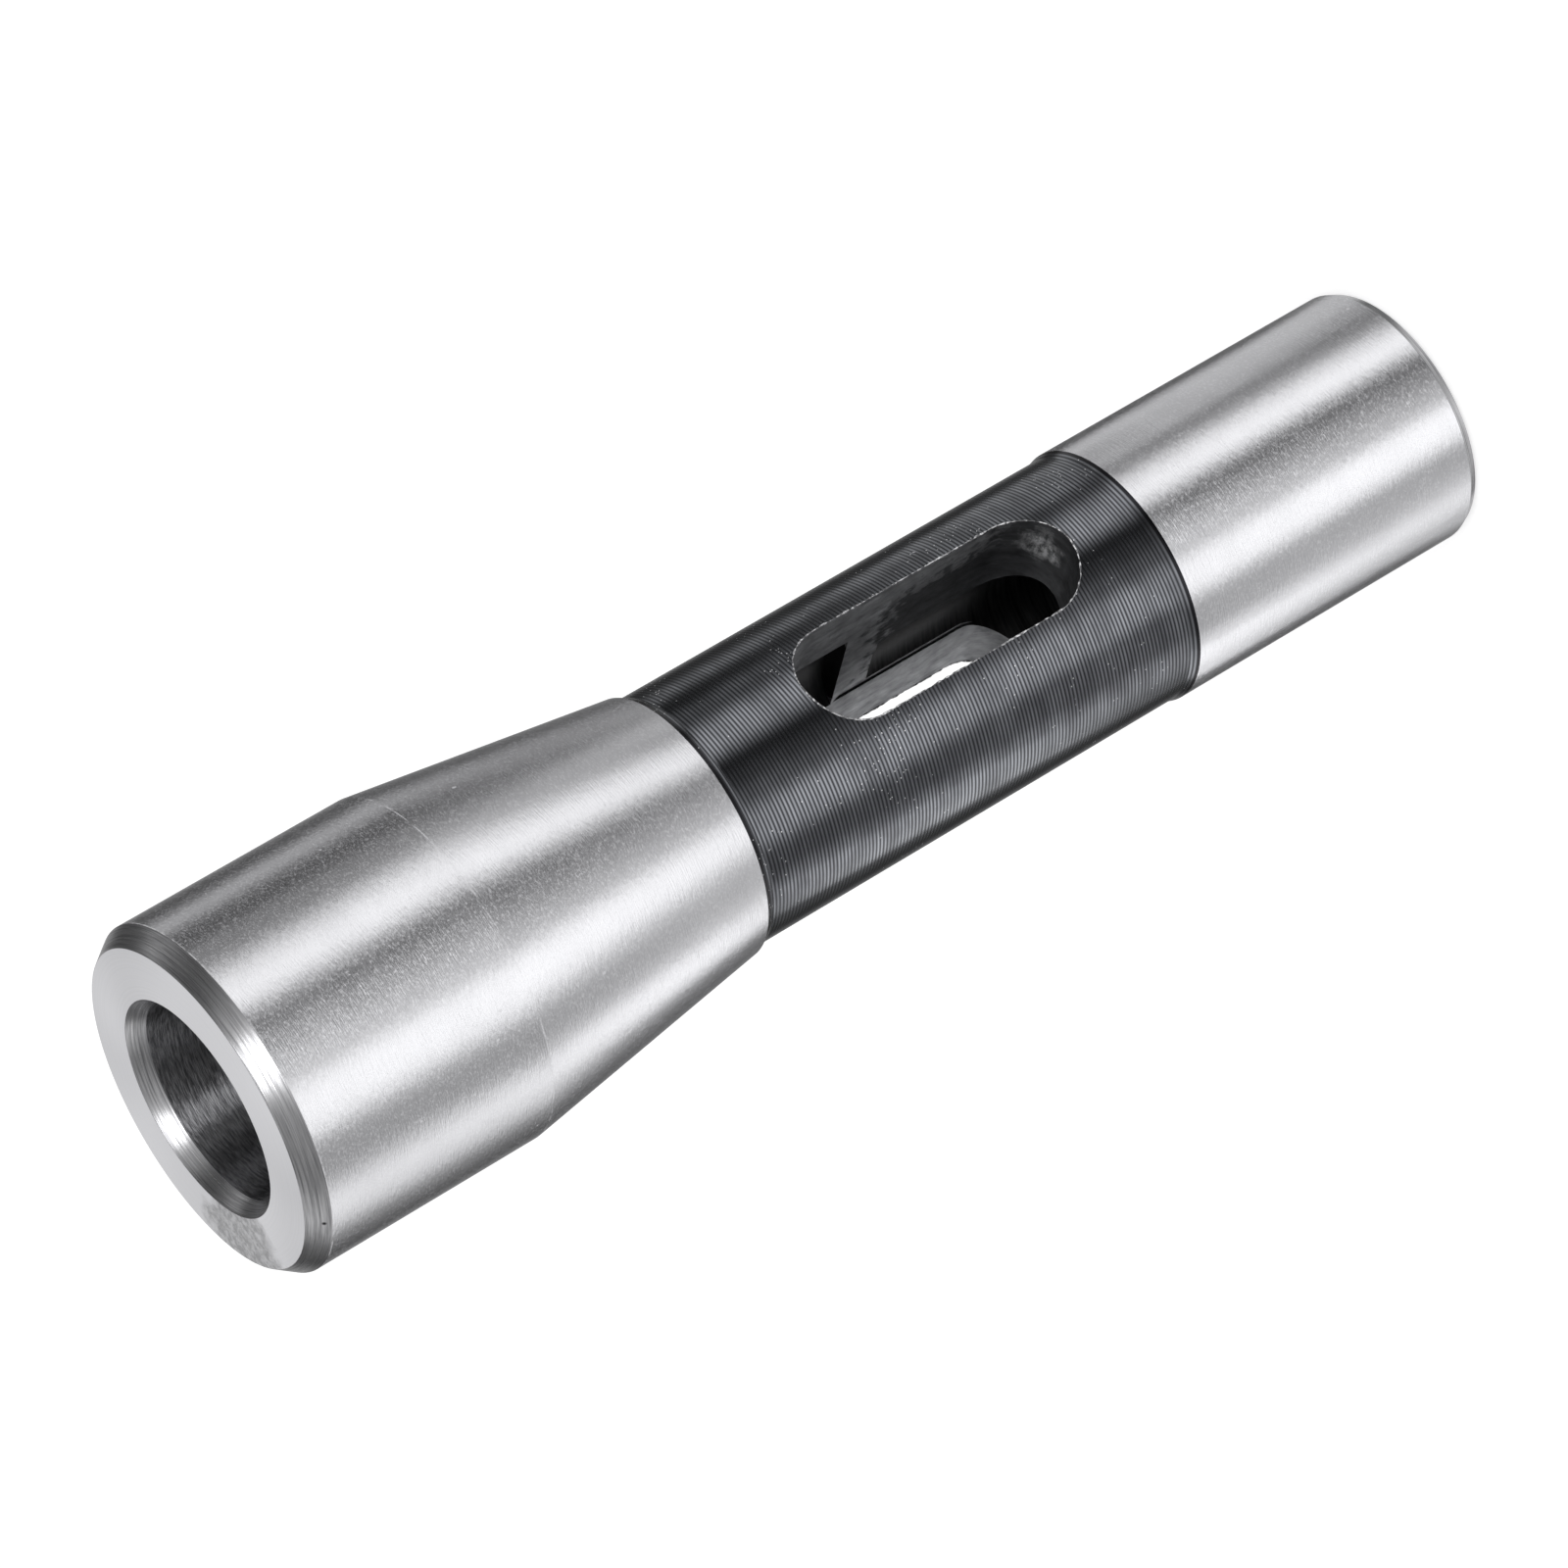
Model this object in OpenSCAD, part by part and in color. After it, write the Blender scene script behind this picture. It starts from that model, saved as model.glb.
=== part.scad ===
// Milling spindle adapter with a Morse taper socket.
// One solid, turned and ground all over: it stands on its drawbar end with the
// socket mouth up, and z = 0 is the plane of the drawbar end face.

/* [Nose] */
// Diameter of the ground nose, also the large end of the spindle cone
nose_dia = 32.1; // [31:0.1:34]
// Length of the nose from its face to the start of the cone
nose_len = 24; // [15:0.5:35]
// Width of the flat left out by the chamfer round the nose face, taken on the radius
nose_chamfer_width = 1.3; // [0.5:0.1:2]
// Height of the chamfer round the nose face
nose_chamfer_len = 1.8; // [0.5:0.1:3]

/* [Spindle cone] */
// Included angle of the cone that seats in the spindle
cone_angle = 16.85; // [16.8:0.01:16.9]
// Length of the ground cone
cone_len = 25.1; // [20:0.1:25.5]

/* [Waist] */
// Diameter of the blackened waist between the cone and the shank
waist_dia = 23.6; // [22:0.1:23.9]
// Length of the waist with the slopes at both its ends
waist_len = 47.1; // [42:0.1:60]
// Length of the slope from the cone down to the waist
cone_slope_len = 1; // [0.5:0.1:2]
// Length of the slope from the waist up to the shank
shank_slope_len = 0.8; // [0.3:0.1:2]

/* [Shank] */
// Diameter of the ground parallel shank
shank_dia = 24.1; // [24:0.05:24.2]
// Length of the parallel shank with its end chamfer
shank_len = 31.6; // [28:0.1:40]
// Width of the chamfer round the drawbar end, taken on the radius
shank_chamfer_width = 0.35; // [0.2:0.05:1.5]
// Length of the chamfer round the drawbar end
shank_chamfer_len = 0.8; // [0.2:0.1:1.5]

/* [Morse socket] */
// Diameter of the countersink where it meets the nose face
mouth_dia = 20.1; // [19.5:0.1:22]
// Diameter of the foot of the countersink, where the lead-in starts
lead_dia = 18.4; // [18:0.1:19]
// Depth of the countersink
mouth_depth = 1.5; // [1:0.1:2]
// Depth of the gauge plane below the nose face, at the foot of the lead-in
gauge_depth = 4; // [3:0.5:6]
// Diameter of the socket at its gauge plane, No. 2 Morse taper
gauge_dia = 17.78; // [17.7:0.01:17.9]
// Length of the taper for one unit of diameter, No. 2 Morse taper
taper_ratio = 20.02; // [19.9:0.01:20.1]
// Length of the reamed taper below the gauge plane
taper_len = 60; // [54:1:62]
// Diameter of the pilot bore below the reamed taper
pilot_dia = 13.9; // [13:0.1:14.3]
// Depth of the floor of the pilot bore below the nose face
pilot_depth = 70.2; // [68:0.1:71]

/* [Drift slot] */
// Width of the slot that crosses the body
slot_width = 9.7; // [8:0.1:11]
// Length of the slot from end to end of its round ends
slot_len = 28.4; // [24:0.1:30]
// Distance from the nose face to the near end of the slot
slot_start = 60.6; // [58:0.1:62]

/* [Drawbar hole] */
// Diameter of the core hole of the drawbar thread, for an M12 thread
core_dia = 10.3; // [9.8:0.1:10.6]
// Depth of the threaded length from the drawbar end
thread_depth = 30; // [20:1:34]
// Diameter of the countersink at the mouth of the drawbar hole
core_mouth_dia = 12.6; // [12:0.1:14]
// Depth of the countersink at the mouth of the drawbar hole
core_mouth_depth = 1.1; // [0.5:0.1:2]
// Diameter of the deep hole that joins the core hole to the slot
deep_dia = 10.4; // [9.6:0.1:10.8]
// Thickness of the wall left between the pilot bore and the deep hole, seen in the slot
web_thick = 3.9; // [2:0.1:6]
// How far the deep hole has run off the axis across the slot
deep_off_across = 0.6; // [0:0.1:0.8]
// How far the deep hole has run off the axis along the slot's way through
deep_off_through = 1.7; // [0:0.1:2]

/* [Keyway] */
// Width of the keyway in the shank
key_width = 4; // [3:0.1:5]
// Depth of the keyway below the shank surface
key_depth = 2.3; // [1.5:0.1:2.8]
// Length of the keyway from the drawbar end to its round end
key_len = 25; // [15:1:30]

/* [Hidden] */
overall_len = nose_len + cone_len + waist_len + shank_len;
nose_r = nose_dia / 2;
cone_end_r = nose_r - cone_len * tan(cone_angle / 2);
waist_r = waist_dia / 2;
shank_r = shank_dia / 2;
z_cone_top = overall_len - nose_len;
z_cone_end = z_cone_top - cone_len;
z_shank = shank_len;
z_gauge = overall_len - gauge_depth;
z_taper_end = z_gauge - taper_len;
taper_end_dia = gauge_dia - taper_len / taper_ratio;
z_pilot = overall_len - pilot_depth;
z_deep = z_pilot - web_thick;
slot_r = slot_width / 2;
z_slot_top = overall_len - slot_start - slot_r;
z_slot_low = overall_len - slot_start - slot_len + slot_r;
// Cutters run past the surfaces that they open by this much
past = 1;
$fn = 128;

module turned_blank() {
    rotate_extrude()
        polygon([
            [0, 0],
            [shank_r - shank_chamfer_width, 0],
            [shank_r, shank_chamfer_len],
            [shank_r, z_shank],
            [waist_r, z_shank + shank_slope_len],
            [waist_r, z_cone_end - cone_slope_len],
            [cone_end_r, z_cone_end],
            [nose_r, z_cone_top],
            [nose_r, overall_len - nose_chamfer_len],
            [nose_r - nose_chamfer_width, overall_len],
            [0, overall_len]
        ]);
}

module morse_socket() {
    mouth_r = mouth_dia / 2;
    lead_r = lead_dia / 2;
    mouth_past_r = mouth_r + (mouth_r - lead_r) * past / mouth_depth;
    rotate_extrude()
        polygon([
            [0, z_pilot],
            [pilot_dia / 2, z_pilot],
            [pilot_dia / 2, z_taper_end],
            [taper_end_dia / 2, z_taper_end],
            [gauge_dia / 2, z_gauge],
            [lead_r, overall_len - mouth_depth],
            [mouth_past_r, overall_len + past],
            [0, overall_len + past]
        ]);
}

module drift_slot() {
    rotate([90, 0, 0])
        linear_extrude(height = nose_dia, center = true)
            union() {
                translate([0, z_slot_top])
                    circle(r = slot_r);
                translate([0, z_slot_low])
                    circle(r = slot_r);
                translate([-slot_r, z_slot_low])
                    square([slot_width, z_slot_top - z_slot_low]);
            }
}

module drawbar_hole() {
    core_r = core_dia / 2;
    core_mouth_r = core_mouth_dia / 2;
    mouth_past_r = core_mouth_r + (core_mouth_r - core_r) * past / core_mouth_depth;
    rotate_extrude()
        polygon([
            [0, -past],
            [mouth_past_r, -past],
            [core_r, core_mouth_depth],
            [core_r, thread_depth],
            [0, thread_depth]
        ]);
    translate([deep_off_across, deep_off_through, thread_depth - past])
        cylinder(d = deep_dia, h = z_deep - thread_depth + past);
}

module keyway() {
    key_reach = shank_r + past;
    translate([0, shank_r - key_depth, 0])
        rotate([-90, 0, 0])
            linear_extrude(height = key_reach)
                union() {
                    translate([0, -(key_len - key_width / 2)])
                        circle(d = key_width);
                    translate([-key_width / 2, -(key_len - key_width / 2)])
                        square([key_width, key_len - key_width / 2 + past]);
                }
}

module adapter_body() {
    color([0.62, 0.63, 0.65])
        difference() {
            turned_blank();
            morse_socket();
            drift_slot();
            drawbar_hole();
            keyway();
        }
}

adapter_body();
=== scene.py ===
# %% [markdown]
# # A spindle shank that takes a Morse taper
# The real part is one piece of hardened tool steel, turned, drilled, slotted and ground.
# Its thick nose holds the taper socket, a cone carries it in the milling spindle, a thinner
# blackened waist has the slot for a drift key, and a ground shank takes the drawbar.
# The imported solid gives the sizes. This lesson dresses it: the same shape, turned with fine
# grooves and softened edges, and a finish for each kind of machining.

import math
import random

import bmesh
import bpy
from mathutils import Matrix, Vector


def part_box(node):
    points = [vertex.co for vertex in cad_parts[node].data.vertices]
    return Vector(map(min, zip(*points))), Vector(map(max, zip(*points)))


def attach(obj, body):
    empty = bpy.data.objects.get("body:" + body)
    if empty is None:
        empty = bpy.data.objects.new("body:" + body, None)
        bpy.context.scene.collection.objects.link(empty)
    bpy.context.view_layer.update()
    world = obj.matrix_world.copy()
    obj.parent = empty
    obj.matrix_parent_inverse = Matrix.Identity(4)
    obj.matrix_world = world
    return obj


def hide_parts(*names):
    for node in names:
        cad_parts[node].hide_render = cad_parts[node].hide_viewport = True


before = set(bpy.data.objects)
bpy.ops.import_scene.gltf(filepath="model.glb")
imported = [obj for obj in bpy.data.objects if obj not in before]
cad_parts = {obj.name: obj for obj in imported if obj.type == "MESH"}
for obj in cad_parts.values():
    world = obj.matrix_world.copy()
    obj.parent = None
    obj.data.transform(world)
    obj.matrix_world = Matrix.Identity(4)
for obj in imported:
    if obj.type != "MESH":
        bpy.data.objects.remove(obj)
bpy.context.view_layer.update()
MM = 0.001
solid_low, solid_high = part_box("adapter_body")
print("solid, mm:", [round((b - a) / MM, 2) for a, b in zip(solid_low, solid_high)])

# %% [markdown]
# ## Sizes
# The sizes repeat the ones that the solid was cut to, in millimetres from the drawbar end,
# because a dressed surface has to lie on the solid that it stands for.

# %% sizes of the adapter, in millimetres
LENGTH = 127.8
NOSE_R, CONE_END_R, WAIST_R, SHANK_R = 16.05, 12.332, 11.8, 12.05
CONE_TOP, CONE_END, SHANK_TOP = 103.8, 78.7, 31.6
SHANK_SLOPE, CONE_SLOPE = 0.8, 1.0
NOSE_CHAMFER_WIDTH, NOSE_CHAMFER_LENGTH = 1.3, 1.8
SHANK_CHAMFER_WIDTH, SHANK_CHAMFER_LENGTH = 0.35, 0.8
MOUTH_R, LEAD_R, LEAD_DEPTH = 10.05, 9.2, 1.5
GAUGE_Z, GAUGE_R, TAPER_END_Z, TAPER_END_R = 123.8, 8.89, 63.8, 7.3915
PILOT_R, PILOT_Z = 6.95, 57.6
SLOT_R, SLOT_LOW, SLOT_HIGH = 4.85, 38.8, 67.2
THREAD_R, CORE_R, THREAD_DEPTH, THREAD_PITCH = 6.0, 5.15, 30.0, 1.75
# The hole is as wide as the thread between these two heights, and as its core from the third
THREAD_LOW, THREAD_HIGH, THREAD_OUT = 0.55, 27.2, 28.2
TAIL_MOUTH_R = 6.3
DEEP_R, DEEP_X, DEEP_Y, DEEP_TOP = 5.2, 0.6, 1.7, 53.7
KEY_WIDTH, KEY_DEPTH, KEY_LENGTH = 4.0, 2.3, 25.0
GROOVE_PITCH, GROOVE_DEPTH = 0.38, 0.013
SPIN_STEPS = 192

# %% [markdown]
# ## Camera
# The camera comes first. Its place and turn
# were worked out from the photograph's ellipses and outline: the part stands upright on its
# drawbar end, and the camera is rolled until the nose points down to the left.

# %% camera
CAMERA_PLACE = (-226.191, -550.829, 342.585)
CAMERA_RIGHT = Vector((-0.6042099, -0.14359399, -0.78378005))
CAMERA_UP = Vector((0.71912101, -0.52193962, -0.45874176))
CAMERA_BACK = Vector((-0.3432133, -0.84080902, 0.41862254))
SENSOR_WIDTH, LENS = 36.0, 179.218

camera = bpy.data.objects.new("camera", bpy.data.cameras.new("camera"))
bpy.context.scene.collection.objects.link(camera)
camera.data.sensor_width, camera.data.lens = SENSOR_WIDTH, LENS
camera.data.clip_start, camera.data.clip_end = 0.01, 20.0
turn = Matrix((CAMERA_RIGHT, CAMERA_UP, CAMERA_BACK)).transposed()
camera.matrix_world = Matrix.Translation(Vector(CAMERA_PLACE) * MM) @ turn.to_4x4()
bpy.context.scene.camera = camera
print("camera looks down by", round(math.degrees(math.asin(CAMERA_BACK.z)), 1), "degrees")

# %% [markdown]
# ## Helpers
# Operators act on whatever is selected, so every step starts by clearing the selection.
# `rounded` softens the corners of a drawn line, which is what a file or a tumbler does to the
# edges of a turned part, and `add` puts one node into a material with its settings and links.
# Three kinds of node are used so often that they get short names: MATH reckons with numbers,
# RANGE moves a value from one range to another, and MIX blends two colours.

# %% helpers
MATH, RANGE, MIX = "ShaderNodeMath", "ShaderNodeMapRange", "ShaderNodeMix"


def clear_selection():
    """Object mode, with nothing selected."""
    if bpy.context.object and bpy.context.object.mode != "OBJECT":
        bpy.ops.object.mode_set(mode="OBJECT")
    bpy.ops.object.select_all(action="DESELECT")


def rounded(points, radii, cuts=4):
    """The points, with each corner that has a radius turned into a short arc."""
    line = []
    for index, point in enumerate(points):
        radius = radii.get(index, 0.0)
        if not radius:
            line.append(Vector(point))
            continue
        here = Vector(point)
        back = (Vector(points[index - 1]) - here).normalized()
        on = (Vector(points[index + 1]) - here).normalized()
        half = back.angle(on) / 2
        reach = radius / math.tan(half)
        middle = here + (back + on).normalized() * radius / math.sin(half)
        start, end = here + back * reach - middle, here + on * reach - middle
        for cut in range(cuts + 1):
            share = cut / cuts
            way = start.lerp(end, share).normalized()
            line.append(middle + way * radius)
    return line


def add(tree, kind, inputs=(), **settings):
    """One node with its settings. Inputs go by name or in order, as values or as sockets."""
    node = tree.nodes.new(kind)
    for name, value in settings.items():
        setattr(node, name, value)
    for name, value in inputs.items() if isinstance(inputs, dict) else enumerate(inputs):
        if isinstance(value, bpy.types.NodeSocket):
            tree.links.new(value, node.inputs[name])
        else:
            node.inputs[name].default_value = value
    return node


def linear(hex_colour):
    """An sRGB hex colour as the linear values that shaders work in."""
    parts = [int(hex_colour[i : i + 2], 16) / 255 for i in (1, 3, 5)]
    return [c / 12.92 if c <= 0.04045 else ((c + 0.055) / 1.055) ** 2.4 for c in parts] + [1.0]


# %% [markdown]
# ## The turned body
# A lathe makes this shape, so a lathe's method makes it here: half of its section is drawn as
# a chain of points, extruded one from the next, and then spun once round the axis. The chain
# starts on the axis at the bottom of the drawbar hole, goes out round the whole part, and comes
# back to the axis at the bottom of the socket, so the spin closes into one skin. The waist is
# left as the tool cut it, so its line steps in and out once every 0.38 mm.

# %% draw the half section
def waist_line():
    """Points down the waist, one ridge and one groove for each turn of the feed."""
    low, high = SHANK_TOP + SHANK_SLOPE, CONE_END - CONE_SLOPE
    count = int((high - low) / GROOVE_PITCH)
    pitch = (high - low) / count
    points = []
    for turn_number in range(count):
        bottom = low + turn_number * pitch
        points.append((WAIST_R, bottom))
        points.append((WAIST_R - GROOVE_DEPTH, bottom + pitch / 2))
    points.append((WAIST_R, high))
    return points


tail = [
    (0.0, THREAD_DEPTH), (CORE_R, THREAD_DEPTH), (CORE_R, THREAD_OUT), (THREAD_R, THREAD_HIGH),
    (THREAD_R, THREAD_LOW), (TAIL_MOUTH_R, 0.0), (SHANK_R - SHANK_CHAMFER_WIDTH, 0.0),
    (SHANK_R, SHANK_CHAMFER_LENGTH), (SHANK_R, SHANK_TOP),
]
front = [
    (CONE_END_R, CONE_END), (NOSE_R, CONE_TOP), (NOSE_R, LENGTH - NOSE_CHAMFER_LENGTH),
    (NOSE_R - NOSE_CHAMFER_WIDTH, LENGTH), (MOUTH_R, LENGTH), (LEAD_R, LENGTH - LEAD_DEPTH),
    (GAUGE_R, GAUGE_Z), (TAPER_END_R, TAPER_END_Z), (PILOT_R, TAPER_END_Z),
    (PILOT_R, PILOT_Z), (0.0, PILOT_Z),
]
# The corners that are softened, by their place in the line, and the radius of each
soft_tail = {5: 0.08, 6: 0.06, 7: 0.1}
soft_front = {1: 0.5, 2: 0.12, 3: 0.1, 4: 0.08, 5: 0.08, 8: 0.15}
section = rounded(tail, soft_tail)
section += [Vector(p) for p in waist_line()]
section += rounded(front, soft_front)
print("points in the half section:", len(section))

# %% extrude the chain and spin it
clear_selection()
bpy.ops.mesh.primitive_plane_add(size=MM, location=(0, 0, 0))
body = bpy.context.object
body.name = body.data.name = "adapter_dressed"
bpy.ops.object.mode_set(mode="EDIT")
bpy.ops.mesh.select_all(action="SELECT")
bpy.ops.mesh.merge(type="CENTER")
bpy.ops.transform.translate(value=(section[0].x * MM, 0, section[0].y * MM))
for before, after in zip(section, section[1:]):
    step = (after - before) * MM
    bpy.ops.mesh.extrude_region_move(TRANSFORM_OT_translate={"value": (step.x, 0, step.y)})
bpy.ops.mesh.select_all(action="SELECT")
bpy.ops.mesh.spin(steps=SPIN_STEPS, angle=2 * math.pi, center=(0, 0, 0), axis=(0, 0, 1))
bpy.ops.mesh.select_all(action="SELECT")
bpy.ops.mesh.remove_doubles(threshold=0.002 * MM)
bpy.ops.mesh.normals_make_consistent(inside=False)
bpy.ops.object.mode_set(mode="OBJECT")
print("faces after the spin:", len(body.data.polygons))

# %% [markdown]
# ## Cutting the slot, the deep hole and the keyway
# Three cuts aren't round about the axis: the drift key's slot, which runs right through and has
# half-round ends, the deep hole drilled a little off the axis from the drawbar end, and the
# keyway down the shank. Each is a shaped cutter taken away by a Boolean modifier.

# %% cutters
CUTTER_REACH = 18  # past the body on both sides


def box_cutter(name, low, high, round_edges, radius):
    """A block between two corners, with the edges that a test picks rounded."""
    clear_selection()
    low, high = Vector(low) * MM, Vector(high) * MM
    bpy.ops.mesh.primitive_cube_add(size=1, location=(low + high) / 2)
    block = bpy.context.object
    block.name = name
    block.scale = high - low
    bpy.ops.object.transform_apply(location=True, rotation=True, scale=True)
    bpy.ops.object.mode_set(mode="EDIT")
    bpy.ops.mesh.select_mode(type="EDGE")
    bpy.ops.mesh.select_all(action="DESELECT")
    mesh = bmesh.from_edit_mesh(block.data)
    for edge in mesh.edges:
        if round_edges(edge.verts[0].co / MM, edge.verts[1].co / MM):
            edge.select = True
    bmesh.update_edit_mesh(block.data)
    # A hair under the full radius, so that two bevels which meet leave no face without width
    bpy.ops.mesh.bevel(offset=radius * MM * 0.9999, segments=32, affect="EDGES")
    bpy.ops.object.mode_set(mode="OBJECT")
    return block


def along_y(a, b):
    """True for an edge that runs from front to back, by its two ends."""
    return abs(a.y - b.y) > 1.0 and abs(a.x - b.x) + abs(a.z - b.z) < 0.01


slot_cutter = box_cutter(
    "slot_cutter", (-SLOT_R, -CUTTER_REACH, SLOT_LOW), (SLOT_R, CUTTER_REACH, SLOT_HIGH),
    along_y, SLOT_R,
)
key_cutter = box_cutter(
    "key_cutter",
    (-KEY_WIDTH / 2, SHANK_R - KEY_DEPTH, -2), (KEY_WIDTH / 2, SHANK_R + 2, KEY_LENGTH),
    lambda a, b: along_y(a, b) and a.z > 0, KEY_WIDTH / 2,
)
clear_selection()
deep_low = THREAD_DEPTH - 1
bpy.ops.mesh.primitive_cylinder_add(
    vertices=96, radius=DEEP_R * MM, depth=(DEEP_TOP - deep_low) * MM,
    location=(DEEP_X * MM, DEEP_Y * MM, (DEEP_TOP + deep_low) / 2 * MM),
)
deep_cutter = bpy.context.object
deep_cutter.name = "deep_cutter"

# %% the end mill's second pass
# The slot was cut in two passes, and the second went a fifth of a millimetre deeper into one
# wall, with a slanting crease between the two.
SECOND_PASS = 0.2
PASS_FRONT, PASS_BACK, PASS_TOP = -6.9, 4.8, 62.0
CREASE_FRONT, CREASE_BACK = (0, -5.2, 50.1), (0, 4.8, 57.4)
pass_cutter = box_cutter(
    "pass_cutter",
    (-SLOT_R, PASS_FRONT, SLOT_LOW), (SLOT_R + SECOND_PASS, PASS_BACK, PASS_TOP), along_y, SLOT_R,
)
crease_low, crease_high = Vector(CREASE_FRONT) * MM, Vector(CREASE_BACK) * MM
crease = (crease_high - crease_low).normalized()
bpy.ops.object.mode_set(mode="EDIT")
bpy.ops.mesh.select_all(action="SELECT")
bpy.ops.mesh.bisect(
    plane_co=crease_low, plane_no=(0, -crease.z, crease.y), use_fill=True, clear_outer=True,
)
bpy.ops.object.mode_set(mode="OBJECT")
print("second pass cutter faces:", len(pass_cutter.data.polygons))

# %% take the cutters away
for cutter in (deep_cutter, slot_cutter, pass_cutter, key_cutter):
    clear_selection()
    body.select_set(True)
    bpy.context.view_layer.objects.active = body
    cut = body.modifiers.new("cut", "BOOLEAN")
    cut.operation, cut.solver, cut.object = "DIFFERENCE", "EXACT", cutter
    bpy.ops.object.modifier_apply(modifier=cut.name)
    clear_selection()
    cutter.select_set(True)
    bpy.ops.object.delete()
print("faces after the cuts:", len(body.data.polygons))

# %% [markdown]
# ## Finishes
# Steel looks different after each tool that touched it, so every kind of machining gets its own
# finish. All of them are metal with the usual IOR, and what changes is the colour, how rough the
# surface is and which way its marks run.

# %% shared pieces of the finishes
def new_material(name):
    """A material with an empty tree and its output node."""
    material = bpy.data.materials.new(name)
    material.use_nodes = True
    tree = material.node_tree
    tree.nodes.clear()
    return material, tree, tree.nodes.new("ShaderNodeOutputMaterial")


def new_finish(name):
    """An empty material, its output node, and the place on the piece that patterns follow."""
    finish, tree, output = new_material(name)
    return finish, tree, output, add(tree, "ShaderNodeTexCoord").outputs["Object"]


def stretched_noise(tree, place, scale, detail=3.0, roughness=0.55):
    """Noise with so many grains to a metre in each direction: 5000 is one in 0.2 mm."""
    mapping = add(tree, "ShaderNodeMapping", {"Vector": place, "Scale": scale})
    place = mapping.outputs["Vector"]
    return add(
        tree, "ShaderNodeTexNoise",
        {"Vector": place, "Scale": 1.0, "Detail": detail, "Roughness": roughness},
    ).outputs["Fac"]


def scattered_spots(tree, place, scale, share, size):
    """1 in small spots, in that share of the cells of a grid with 1/scale to a cell, else 0."""
    mapping = add(tree, "ShaderNodeMapping", {"Vector": place, "Scale": scale})
    place = mapping.outputs["Vector"]
    cells = add(tree, "ShaderNodeTexVoronoi", {"Vector": place, "Scale": 1.0}, feature="F1")
    chance = add(tree, "ShaderNodeSeparateXYZ", {"Vector": cells.outputs["Color"]}).outputs["X"]
    kept = add(tree, MATH, (chance, share), operation="LESS_THAN").outputs[0]
    near = add(tree, MATH, (cells.outputs["Distance"], size), operation="LESS_THAN").outputs[0]
    return add(tree, MATH, (kept, near), operation="MULTIPLY").outputs[0]


def metal(tree, output, colour, roughness, bump, bump_mm, grain=0.0, metallic=1.0):
    """A metal surface with a bump of that many millimetres and a grain round the axis."""
    relief = add(
        tree, "ShaderNodeBump", {"Height": bump, "Strength": 1.0, "Distance": bump_mm * MM},
    )
    tangent = add(tree, "ShaderNodeTangent", direction_type="RADIAL", axis="Z")
    shader = add(
        tree, "ShaderNodeBsdfPrincipled",
        {
            "Base Color": colour, "Metallic": metallic, "Roughness": roughness,
            "Anisotropic": grain, "Anisotropic Rotation": 0.25,
            "Normal": relief.outputs["Normal"], "Tangent": tangent.outputs["Tangent"],
        },
    )
    tree.links.new(shader.outputs["BSDF"], output.inputs["Surface"])


# %% ground steel: nose, cone and shank
NOSE_EDGE = LENGTH - 1.87  # just under the chamfer round the nose


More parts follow.
